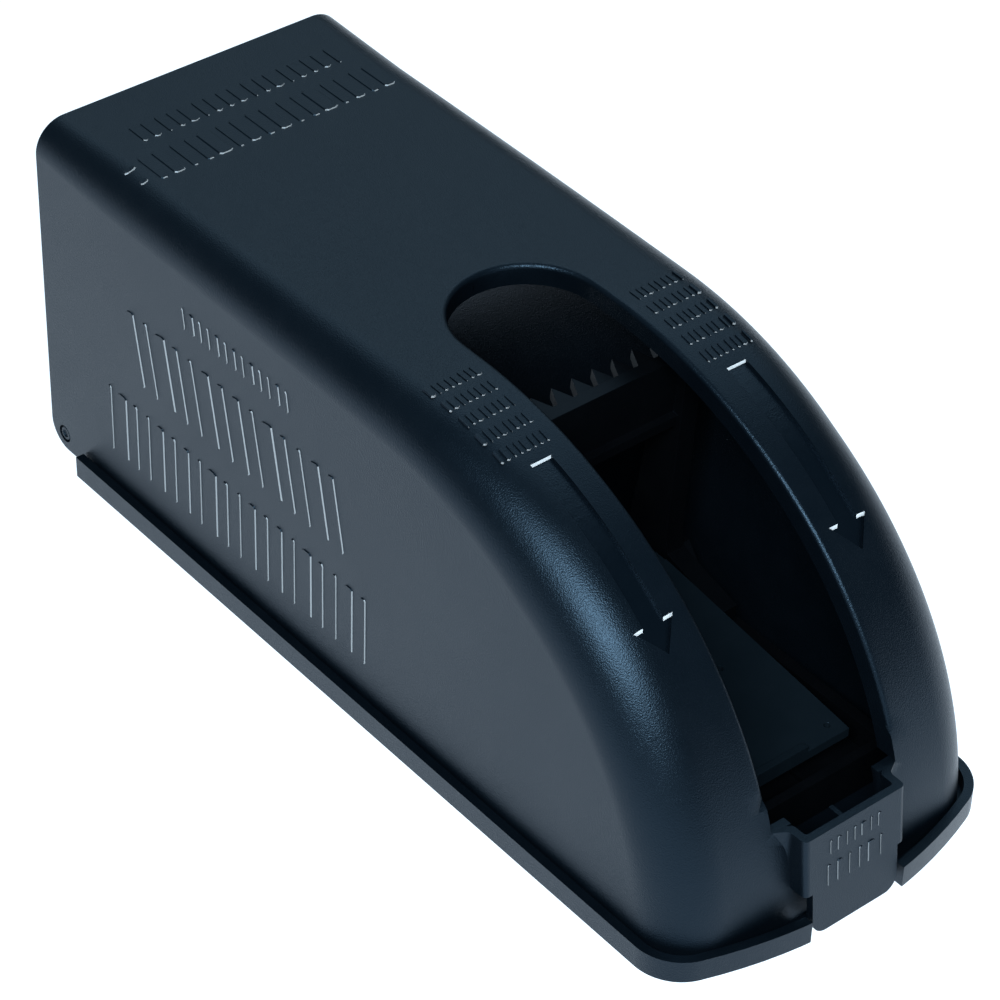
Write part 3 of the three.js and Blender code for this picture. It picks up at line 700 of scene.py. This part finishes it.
def tab_plan(z):
    """The channel's plan: a U with rounded bends and flared ears, as a closed band."""
    face = tab_face(z)
    outer = [(19, -110), (19, -114.4), (TAB_HALF, -116.6), (TAB_HALF, face), (-TAB_HALF, face),
             (-TAB_HALF, -116.6), (-19, -114.4), (-19, -110)]
    inside, turn = TAB_WALL, 0.9
    inner = [(19 - inside, -110), (19 - inside, -114.4 + turn), (TAB_HALF - inside, -116.6 + turn),
             (TAB_HALF - inside, face + inside), (-TAB_HALF + inside, face + inside),
             (-TAB_HALF + inside, -116.6 + turn), (-19 + inside, -114.4 + turn), (-19 + inside, -110)]
    path = rounded_path(outer, (1.4, 2.0, 1.6, 1.6, 2.0, 1.4))
    path += rounded_path(inner, (0.8, 1.0, 0.8, 0.8, 1.0, 0.8))[::-1]
    return [tuple(p) for p in path]


def lift_tab():
    channel = loft("lift_tab", (tab_plan(TAB_FOOT), tab_plan(TAB_TOP)), TAB_FOOT, TAB_TOP)
    half, corner, low = 12.9, 4, 0.5
    outline = [(-half, TAB_FOOT + 1), *arc((-half + corner, low + corner), corner, 180, 270, 8),
               *arc((half - corner, low + corner), corner, 270, 360, 8), (half, TAB_FOOT + 1)]
    slab = [(tab_face(z) + back, z) for z, back in ((-2, 0), (-2, TAB_WALL), (18, TAB_WALL), (18, 0))]
    tongue = common(prism("tongue", outline, -130, -110, "Y"), prism("slab", slab, -20, 20, "X"))
    fin = [(-112.2, TAB_TOP - 3.3), (TAB_FACE + 1, TAB_TOP - 3.3), (tab_face(TAB_FOOT) + 1, TAB_FOOT - 1.5),
           (-119.5, TAB_FOOT - 4)]
    join(channel, tongue, prism("fin", fin, -0.6, 0.6, "X"))
    return cut(channel, hood_space("inside", WALL, BELOW))


# %% Arrows, assembly and edges of the cover
ARROW_X, ARROW_TAIL, ARROW_BARB, ARROW_TIP, ARROW_DEPTH = 28.5, -45, -83.4, -89, 0.9
ARROW_SHAFT, ARROW_HEAD = 2.9, 5.5
SLOT_EDGE_RADIUS, EDGE_WIDTH = 1.2, 0.45


def arrow(side):
    shaft, head = ARROW_SHAFT, ARROW_HEAD
    outline = [(-shaft, ARROW_TAIL), (-shaft, ARROW_BARB), (-head, ARROW_BARB), (0, ARROW_TIP),
               (head, ARROW_BARB), (shaft, ARROW_BARB), (shaft, ARROW_TAIL)]
    column = prism("arrow", [(side * ARROW_X + x, y) for x, y in outline], 40, ABOVE)
    return common(column, cut(hood_space("over", -1), hood_space("under", ARROW_DEPTH)))


def mark_faces(piece, label, amount, chosen):
    """Marks some faces for the finish to read: a painted highlight on edges that face the light, or "sunk" where
    the mould was polished.
    """
    marks = piece.data.attributes.new(label, "FLOAT", "FACE").data
    marks.foreach_set("value", [amount if chosen(face) else 0.0 for face in piece.data.polygons])
    return piece


# The arrows' end walls that face down the nose. They get a painted highlight.
def arrow_end(face):
    x, y, z = face.center / MM
    at_end = min(abs(y - ARROW_TAIL), abs(y - ARROW_BARB)) < 0.05
    return at_end and face.normal.y < -0.9 and abs(abs(x) - ARROW_X) <= ARROW_HEAD


def arrow_floor(face):
    """The floor lies ARROW_DEPTH below the nose's own profile."""
    x, y, z = face.center / MM
    if not (ARROW_TIP < y < ARROW_TAIL and abs(abs(x) - ARROW_X) < ARROW_HEAD and face.normal.z > 0.3):
        return False
    roof_z, ny, nz = profile_at(y)
    depth = (roof_z - z) * nz - ny * ny * x * x / (2 * HOOD_BOW)
    return 0.6 * ARROW_DEPTH < depth < 1.6 * ARROW_DEPTH


def on_slot(vert):
    x, y, _ = vert.co / MM
    return abs((abs(x) if y < SLOT_END_Y else math.hypot(x, y - SLOT_END_Y)) - SLOT_HALF) < 0.03


def is_slot_edge(edge):
    """True for the slot's upper edge, between the outer surface and the slot's wall, above the tab."""
    if len(edge.link_faces) != 2 or not all(on_slot(v) for v in edge.verts):
        return False
    outer = [f for f in edge.link_faces if f.normal.z > 0.12 and f.normal.z - f.normal.y > 0.9]
    above_tab = min(v.co.z for v in edge.verts) > (TAB_TOP + 7.9) * MM
    return len(outer) == 1 and edge.calc_face_angle() > 1.2 and above_tab


def soften_slot(piece):
    """A larger radius on the slot's upper edge, where fingers go in."""
    def soften(work):
        chosen = [edge for edge in work.edges if is_slot_edge(edge)]
        bmesh.ops.bevel(work, geom=chosen, offset=SLOT_EDGE_RADIUS * MM, segments=4, profile=0.5,
                        affect="EDGES", clamp_overlap=False)
        print("slot edges", len(chosen))
    return edit(piece, soften)


def make_cover():
    shell = soften_slot(weld(cut(cover_shell(), *rear_cuts())))
    behind = TAB_HALF - TAB_WALL
    cut(shell, block("pocket", (-behind, -119, TAB_FOOT - 2.5), (behind, -105, TAB_TOP + 1)))
    join(shell, lift_tab())
    round_edges(weld(shell), EDGE_WIDTH)
    cut(shell, arrow(-1), arrow(1))
    # A painted highlight on the arrows' end walls.
    mark_faces(shell, "painted_glint", 1.0, arrow_end)
    return mark_faces(shell, "sunk", 1.0, arrow_floor)


cover_piece = make_cover()
dress(cover_piece, "cover", "shell", "cover")

# %% [markdown]
# ## Base tray
# The tray is a shallow dish with a raised rim. Its front is bowed in plan and notched for the lift
# tab, its rear is open for the hood's heel, and two lugs carry the hinge. The hood's foot drops
# inside the rim, so a thin dark gap runs all round.

# %% Tray
TRAY_HALF, TRAY_FRONT, TRAY_REAR, TRAY_CORNER = 49.5, -126.1, 110.7, 13
TRAY_FLOOR, RIM_TOP, RIM_WALL = 2, 6.1, 2.4
NOTCH_HALF, NOTCH_DEPTH = 14, 5.4
LUG_RADIUS, LUG_INNER, LUG_OUTER = 4, 35, 43
SCREW_SPOTS = [(x, y) for y in (-72, 40) for x in (-28, 28)]


def tray_outline(inset):
    front = full_section(TRAY_HALF - inset, 0, TRAY_CORNER - inset, 1 / (2 * TRAY_BOW))
    front_y, rear, side = TRAY_FRONT + inset, TRAY_REAR - inset, TRAY_HALF - inset
    return [(x, front_y + depth) for x, depth in front] + [(side, rear), (-side, rear)]


def hinge_lug(side):
    y, z, lug = HINGE.y, HINGE.z, LUG_RADIUS
    low, high = sorted((side * LUG_INNER, side * LUG_OUTER))
    foot = [(y - 17, 0), (y - 1, 0), (y + 3.2, z - 2.4), (y + 1, z + lug - 0.2), (y - 6, z + lug - 0.4),
            (y - 13, TRAY_FLOOR + 2)]
    lug_block = join(prism("lug", foot, low, high, "X"), rod("eye", "X", y, z, lug, low, high))
    return cut(lug_block, rod("bore", "X", y, z, PIN_BORE, low - 1, high + 1))


def make_tray():
    tray = prism("tray_moulding", tray_outline(0), 0, RIM_TOP)
    inner = TRAY_HALF - RIM_WALL
    cut(tray, prism("dish", tray_outline(RIM_WALL), TRAY_FLOOR, RIM_TOP + 2),
        block("open_rear", (-inner, TRAY_REAR - 4, TRAY_FLOOR), (inner, TRAY_REAR + 1, RIM_TOP + 2)),
        block("notch", (-NOTCH_HALF, TRAY_FRONT - 2, -1), (NOTCH_HALF, TRAY_FRONT + NOTCH_DEPTH, 9)))
    join(tray, hinge_lug(-1), hinge_lug(1))
    cut(tray, *(rod("screw_hole", "Z", x, y, 1.7, -1, 4, 24) for x, y in SCREW_SPOTS))
    return round_edges(weld(tray), EDGE_WIDTH)


dress(make_tray(), "base", "shell", "base_tray")

# %% [markdown]
# Each hinge pin is pushed in from inside: its head bears on the lug, and its flat end shows as a
# small disc in the hood's side wall.

# %% Hinge pins
SIDES = ((-1, "left"), (1, "right"))
PIN_PROFILE = [(0, 0), (2.8, 0), (3.4, 0.5), (3.4, 1.2), (2.1, 1.2), (2.1, 12.7), (1.75, 13.1),
               (1.1, 13.1), (0.9, 12.7), (0, 12.7)]
PIN_HEAD_X = 33.5
for side, name in SIDES:
    head_at = (side * PIN_HEAD_X, HINGE.y, HINGE.z)
    pin = turned(f"hinge_pin_{name}_moulded", PIN_PROFILE, head_at, "X", side)
    dress(round_edges(pin, 0.12, 2), "base", "shell", f"hinge_pin_{name}")

# %% [markdown]
# ## Inner trap
# The bed, the toothed jaw, the lever and the pedal keep their CAD shape, because they bear on each
# other. What the mould adds is put on a copy: broken edges, stiffening ribs, and the lever's two
# small ejector holes.

# %% Trap mouldings
def detail(node, name, body, width=0.4, cuts=(), joins=(), finish=None):
    piece = copy_node(node, name)
    join(piece, *joins)
    cut(piece, *cuts)
    return dress(round_edges(weld(piece), width), body, "trap", node, finish=finish)


ribs = [block("rib", (x - 0.6, -94, 4.5), (x + 0.6, -36, 6.2)) for x in (-16, 0, 16)]
detail("trap_frame", "trap_frame_moulding", "base", joins=ribs)
detail("upper_jaw", "upper_jaw_moulding", "jaw")
lever_holes = [rod("hole", "Z", side * x, y, 0.8, 10, 26, 24)
               for side in (1, -1) for x, y in ((15.2, -61), (24.2, -88))]
# The lever takes the lighter copy, painted light where it shows in the slot.
detail("setting_lever", "setting_lever_moulding", "jaw", 0.6, lever_holes, finish=lever_plastic)
detail("trigger_pedal", "trigger_pedal_moulding", "pedal", 0.3)

# %% [markdown]
# The cup, the pivot pin, its caps and the screws are round, so each is one turned profile, with its
# corners drawn in. A cross recess is cut in each screw's head.

# %% Bait cup, pivot pin, caps and screws
CUP_PROFILE = [(0, 8.8), (7.2, 8.8), (7.9, 9.1), (8.2, 9.8), (8.2, 13.3), (11, 13.3), (11, 14.2),
               (10.6, 14.5), (7.4, 14.5), (7.0, 14.2), (6.4, 10.2), (6.0, 10.0), (0, 10.0)]
PIVOT_PROFILE = [(0, -39), (1.7, -39), (2, -38.7), (2, 38.7), (1.7, 39), (0, 39)]
CAP_PROFILE = [(0, 1.7), (2.3, 1.7), (2.3, 0), (4.2, 0), (4.2, 1.4), (3.9, 2.0), (3.0, 2.7), (0, 2.9)]
SCREW_PROFILE = [(0, 0.8), (1.4, 0.8), (1.4, 5.1), (3.2, 5.1), (3.2, 6.1), (2.9, 6.6), (2.2, 7.1), (0, 7.1)]
PIVOT, CAP_X = joint_at["jaw_pivot"], 37.6

cup = turned("bait_cup_moulded", CUP_PROFILE, (0, 20, 0))
dress(round_edges(cup, 0.12), "pedal", "cup", "bait_cup")
pivot_pin = turned("pivot_pin_turned", PIVOT_PROFILE, (0, PIVOT.y, PIVOT.z), "X")
dress(round_edges(pivot_pin, 0.08), "base", "steel", "pivot_pin")
for side, name in SIDES:
    cap = turned(f"pivot_cap_{name}_pressed", CAP_PROFILE, (side * CAP_X, PIVOT.y, PIVOT.z), "X", side)
    dress(round_edges(cap, 0.1), "base", "steel", f"pivot_cap_{name}")
for number, (x, y) in enumerate(SCREW_SPOTS, 1):
    screw = turned(f"screw_{number}", SCREW_PROFILE, (x, y, 0), sides=40)
    cut(screw, block("drive", (x - 1.9, y - 0.3, 6.2), (x + 1.9, y + 0.3, 8)),
        block("drive", (x - 0.3, y - 1.9, 6.2), (x + 0.3, y + 1.9, 8)))
    dress(round_edges(screw, 0.08), "base", "steel", f"frame_screw_{number}")


# %% [markdown]
# ## Springs
# A spring is one wire that follows a path, so it is drawn as a path and swept by Geometry Nodes.
# The two jaw springs sit on the pivot pin, with one leg on the bed and one under the lever.
# The pedal's small upright spring is a coil as tall as the CAD's spring.

# %% Geometry group: wire along a path
class Graph(Tree):
    """A geometry node group with named inputs, ended by Realize Instances and Set Material."""

    def __init__(self, name, inputs):
        super().__init__(bpy.data.node_groups.new(name, "GeometryNodeTree"))
        face = self.node_tree.interface
        face.new_socket("Geometry", in_out="OUTPUT", socket_type="NodeSocketGeometry")
        face.new_socket("Geometry", in_out="INPUT", socket_type="NodeSocketGeometry")
        for label, kind in {**inputs, "Finish": "NodeSocketMaterial"}.items():
            face.new_socket(label, in_out="INPUT", socket_type=kind)
        self.inputs = self.node_tree.nodes.new("NodeGroupInput")

    def given(self, label):
        return Wire(self, self.inputs.outputs[label])

    def end(self, geometry):
        real = self.node("GeometryNodeRealizeInstances", {}, {0: geometry})
        coated = self.node("GeometryNodeSetMaterial", {}, {0: real, "Material": self.given("Finish")})
        out = self.node_tree.nodes.new("NodeGroupOutput")
        self.feed(out.inputs[0], coated)
        return self.node_tree


def run_graph(piece, group, values):
    """Puts a group on a piece with its inputs set by identifier, and bakes the result."""
    step = piece.modifiers.new(group.name, "NODES")
    step.node_group = group
    identifiers = {s.name: s.identifier for s in group.interface.items_tree if s.in_out == "INPUT"}
    for label, value in values.items():
        step[identifiers[label]] = value
    return settle(piece)


def wire_group():
    graph = Graph("wire_along_path", {"Wire Radius": "NodeSocketFloat", "Sides": "NodeSocketInt"})
    path = graph.node("GeometryNodeMeshToCurve", {}, {0: graph.given("Geometry")})
    ring = graph.node("GeometryNodeCurvePrimitiveCircle", {},
                      {"Radius": graph.given("Wire Radius"), "Resolution": graph.given("Sides")})
    swept = graph.node("GeometryNodeCurveToMesh", {}, {0: path, 1: ring, "Fill Caps": True})
    return graph.end(graph.node("GeometryNodeSetShadeSmooth", {}, {0: swept}))


WIRE_ALONG_PATH = wire_group()


def wire_piece(name, points, radius_mm, sides=12):
    edges = [(i, i + 1) for i in range(len(points) - 1)]
    piece = make_object(name, points, [], edges)
    return run_graph(piece, WIRE_ALONG_PATH, {"Wire Radius": radius_mm * MM, "Sides": sides, "Finish": steel})


# %% Jaw springs and the pedal's spring
COIL_FROM, COIL_TO, COIL_RADIUS, TURNS, LEG = 9, 22, 5.8, 6, 30
LOW_LEG, HIGH_LEG = math.radians(10), math.radians(16)


def jaw_spring_path(side):
    def on_coil(angle, x):
        across, up = COIL_RADIUS * math.sin(angle), COIL_RADIUS * math.cos(angle)
        return Vector((side * x, PIVOT.y + across, PIVOT.z + up))

    def leg(root, angle):
        along = Vector((0, -math.cos(angle), -math.sin(angle)))
        return [root + along * LEG * share for share in (0.06, 0.12, 0.3, 0.5, 0.75, 1)]

    start, end, steps = math.pi - LOW_LEG, -HIGH_LEG - 2 * math.pi * TURNS, TURNS * 32
    coil = [on_coil(start + (end - start) * i / steps, COIL_FROM + (COIL_TO - COIL_FROM) * i / steps)
            for i in range(steps + 1)]
    return leg(coil[0], LOW_LEG)[::-1] + coil + leg(coil[-1], HIGH_LEG)


for side, name in SIDES:
    spring = wire_piece(f"jaw_spring_{name}", jaw_spring_path(side), 0.9)
    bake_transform(spring)
    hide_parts(f"spring_{name}")

PEDAL_SPRING_Y, PEDAL_COIL, PEDAL_WIRE, PEDAL_TURNS, STEPS_PER_TURN = 38, 3, 0.35, 4, 28
low, high = mm_box("trigger_spring")
spring_height, spring_steps = high.z - low.z, PEDAL_TURNS * STEPS_PER_TURN
path = []
for i in range(spring_steps + 1):
    angle, share = 2 * math.pi * i / STEPS_PER_TURN, i / spring_steps
    path.append((PEDAL_COIL * math.cos(angle), PEDAL_SPRING_Y + PEDAL_COIL * math.sin(angle),
                 low.z + PEDAL_WIRE + (spring_height - 2 * PEDAL_WIRE) * share))
pedal_spring = wire_piece("pedal_spring_wire", path, PEDAL_WIRE, 8)
dress(pedal_spring, "base", "steel", "trigger_spring")
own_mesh(pedal_spring)
print("pedal spring height", round(spring_height, 2))


# %% [markdown]
# ## Raised marks
# The real cover carries raised moulded marks in blocks on the roof, above the arrows, on both sides
# and on the tab. Here each block is a plain pattern of rounded bars with no meaning. One Geometry
# Nodes group makes a bar with sloped sides and sets it on points that carry their own turn and
# stretch, so a block is only a list of places on the wall. The bar sides that face the light get a
# painted highlight.

# %% Geometry group: bars on points
SIDE_SLOPE, SUNK = 0.24, 0.2


def bar_group():
    sizes = {key: "NodeSocketFloat" for key in ("Width", "Length", "Height", "Corner")}
    graph = Graph("bars_on_points", sizes)
    outline = graph.node("GeometryNodeCurvePrimitiveQuadrilateral", {},
                         {"Width": graph.given("Width"), "Height": graph.given("Length")})
    rounded = graph.node("GeometryNodeFilletCurve", {}, {0: outline, "Radius": graph.given("Corner")})
    for socket in rounded.socket.node.inputs:
        if socket.name == "Count":
            socket.default_value = 5
    base = graph.node("GeometryNodeFillCurve", {"mode": "NGONS"}, {0: rounded})
    raised = graph.node("GeometryNodeExtrudeMesh", {}, {0: base, "Offset Scale": graph.given("Height")})
    top = Wire(graph, raised.socket.node.outputs["Top"])
    drawn_in = 1 - graph.given("Width") / graph.given("Length") * SIDE_SLOPE
    bar = raised
    for scale, axis in ((1 - SIDE_SLOPE, (1, 0, 0)), (drawn_in, (0, 1, 0))):
        bar = graph.node("GeometryNodeScaleElements", {"scale_mode": "SINGLE_AXIS"},
                         {0: bar, "Selection": top, "Scale": scale, "Axis": axis})
    turn, stretch = (graph.node("GeometryNodeInputNamedAttribute", {"data_type": "FLOAT_VECTOR"},
                                {"Name": label}) for label in ("turn", "stretch"))
    points = graph.node("GeometryNodeMeshToPoints", {}, {0: graph.given("Geometry")})
    return graph.end(graph.node("GeometryNodeInstanceOnPoints", {},
                                {0: points, "Instance": bar, "Rotation": turn, "Scale": stretch}))


BARS_ON_POINTS = bar_group()


# %% One block of bars
WIDTHS = (1.0, 1.5, 0.7, 1.0, 1.9, 0.7, 1.3)


def raised_bars(name, spots, width, length, height=0.45, corner=0.5, painted_glint=0.3,
                lit_side=(0, -1, 0)):
    """Bars at spots, each (point, outward normal, direction of its length), sunk a little."""
    spots = [(Vector(p), Vector(n).normalized(), Vector(d)) for p, n, d in spots]
    piece = make_object(name, [p - n * SUNK for p, n, _ in spots], [])
    turns, stretches = [], []
    for number, (_, normal, direction) in enumerate(spots):
        along = (direction - normal * direction.dot(normal)).normalized()
        basis = Matrix((along.cross(normal), along, normal)).transposed()
        turns += list(basis.to_euler("XYZ"))
        stretches += [WIDTHS[number % len(WIDTHS)], 1, 1]
    for label, values in (("turn", turns), ("stretch", stretches)):
        piece.data.attributes.new(label, "FLOAT_VECTOR", "POINT").data.foreach_set("vector", values)
    sizes = {"Width": width, "Length": length, "Height": height, "Corner": min(corner, width * 0.45)}
    run_graph(piece, BARS_ON_POINTS, {**{k: v * MM for k, v in sizes.items()}, "Finish": shell_plastic})
    # Bar sides that face lit_side get a painted highlight.
    lit = Vector(lit_side).normalized()
    tops = [n for _, n, _ in spots[::max(1, len(spots) // 8)]]
    mark_faces(outward(piece), "painted_glint", painted_glint,
               lambda face: face.normal.dot(lit) > 0.55 and max(face.normal.dot(n) for n in tops) < 0.9)
    return dress(piece, "cover", "shell")


def spread(low, high, pitch):
    count = max(1, round((high - low) / pitch))
    return [low + (high - low) * (i + 0.5) / count for i in range(count)]


# %% Places on the walls
def on_roof(x, y, lean=0.0):
    """A place on the roof or the start of the nose, for a bar whose length runs along Y."""
    if y > NOSE_Y:
        radius = fillet_at(y)
        past = max(0, abs(x) - (HALF_WIDTH - DRAFT * HOOD_TOP - radius))
        drop, side_share = radius - math.sqrt(radius ** 2 - past ** 2), math.copysign(past / radius, x)
        return (x, y, HOOD_TOP - drop), (side_share, 0, math.sqrt(1 - side_share ** 2)), (lean, 1, 0)
    z, ny, nz = profile_at(y)
    depth = ny * ny / (2 * HOOD_BOW) * x * x
    return (x, y - ny * depth, z - nz * depth), (0, ny, nz), (lean, 1, 0)


def on_side(side, y, z, lean=0.0):
    return (side * (HALF_WIDTH - DRAFT * z), y, z), (side, 0, DRAFT), (0, lean, 1)


def on_tab(x, z):
    return (x, tab_face(z), z), (0, -1, TAB_SLOPE), (0, 0, 1)


# %% [markdown]
# The blocks follow the real cover: two rows across the rear of the roof, five short rows above each
# arrow, three rows on each side wall, and two on the tab.

# %% Blocks of bars
raised_bars("roof_marks_large", [on_roof(x, 93) for x in spread(-36, 36, 4.4)], 2.4, 11)
raised_bars("roof_marks_dash", [on_roof(-38.5, y) for y in (90, 96)], 2.4, 2.0)
raised_bars("roof_marks_small", [on_roof(x, 107) for x in spread(-30, 32, 3.6)], 1.5, 7.5)
raised_bars("lever_marks", [on_roof(side * 29.8 + x, y) for side in (-1, 1) for y in spread(-43, -13, 6)
                            for x in spread(-7.4, 7.4, 1.9)], 0.8, 3.8, 0.45, 0.3)
for side, name in SIDES:
    raised_bars(f"side_marks_{name}_top", [on_side(side, y, 75, 0.15) for y in spread(22, 66, 3.4)], 1.2, 6)
    raised_bars(f"side_marks_{name}_middle", [on_side(side, y, 54, 0.2) for y in spread(2, 88, 6.2)], 2.6, 21)
    raised_bars(f"side_marks_{name}_low", [on_side(side, y, 26) for y in spread(-8, 100, 5.4)], 2.2, 20)
# The tab's bars get a fainter painted highlight on their sides that face -X.
tab_bar = {"height": 0.4, "corner": 0.3, "painted_glint": 0.2, "lit_side": (-1, 0, 0)}
raised_bars("tab_marks_top", [on_tab(x, 23) for x in spread(-8.5, 8.5, 2.4)], 0.9, 4, **tab_bar)
raised_bars("tab_marks_low", [on_tab(x, 15.5) for x in spread(-9.5, 9.5, 3.2)], 1.2, 6, **tab_bar)
